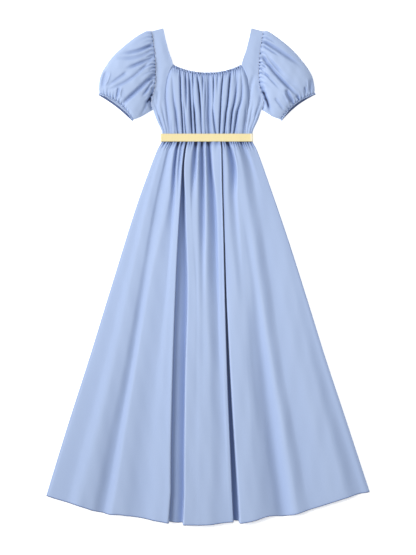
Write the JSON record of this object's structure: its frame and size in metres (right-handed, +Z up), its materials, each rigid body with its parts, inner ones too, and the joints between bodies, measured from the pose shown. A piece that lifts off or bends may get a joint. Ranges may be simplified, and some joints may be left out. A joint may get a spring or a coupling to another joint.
{
  "type": "regency gown",
  "caption": "Regency gown laid flat on its back: gathered scoop neck bodice, short puffed sleeves, high ribbon belt and a long flared skirt in deep folds.",
  "frame": {"origin": "middle of the surface that the gown lies on, under the middle of its outline", "axes": "+Z up from the surface through the front of the gown, +Y towards the neck, +X to the wearer's left, which is the viewer's right"},
  "size_m": [0.9027, 1.3921, 0.0283],
  "materials": {
    "cloth": "soft pale blue plain weave with a faint sheen",
    "ribbon": "pale yellow ribbed ribbon, satin"
  },
  "bodies": {
    "root": {"skirt_front": "cloth", "skirt_back": "cloth", "bodice_front": "cloth", "bodice_back": "cloth", "side_front_left": "cloth", "side_front_right": "cloth", "side_back_left": "cloth", "side_back_right": "cloth", "neck_casing": "cloth", "sleeve_left": "cloth", "sleeve_right": "cloth", "cuff_left": "cloth", "cuff_right": "cloth", "belt": "ribbon", "belt_lap": "ribbon"}
  },
  "joints": []
}
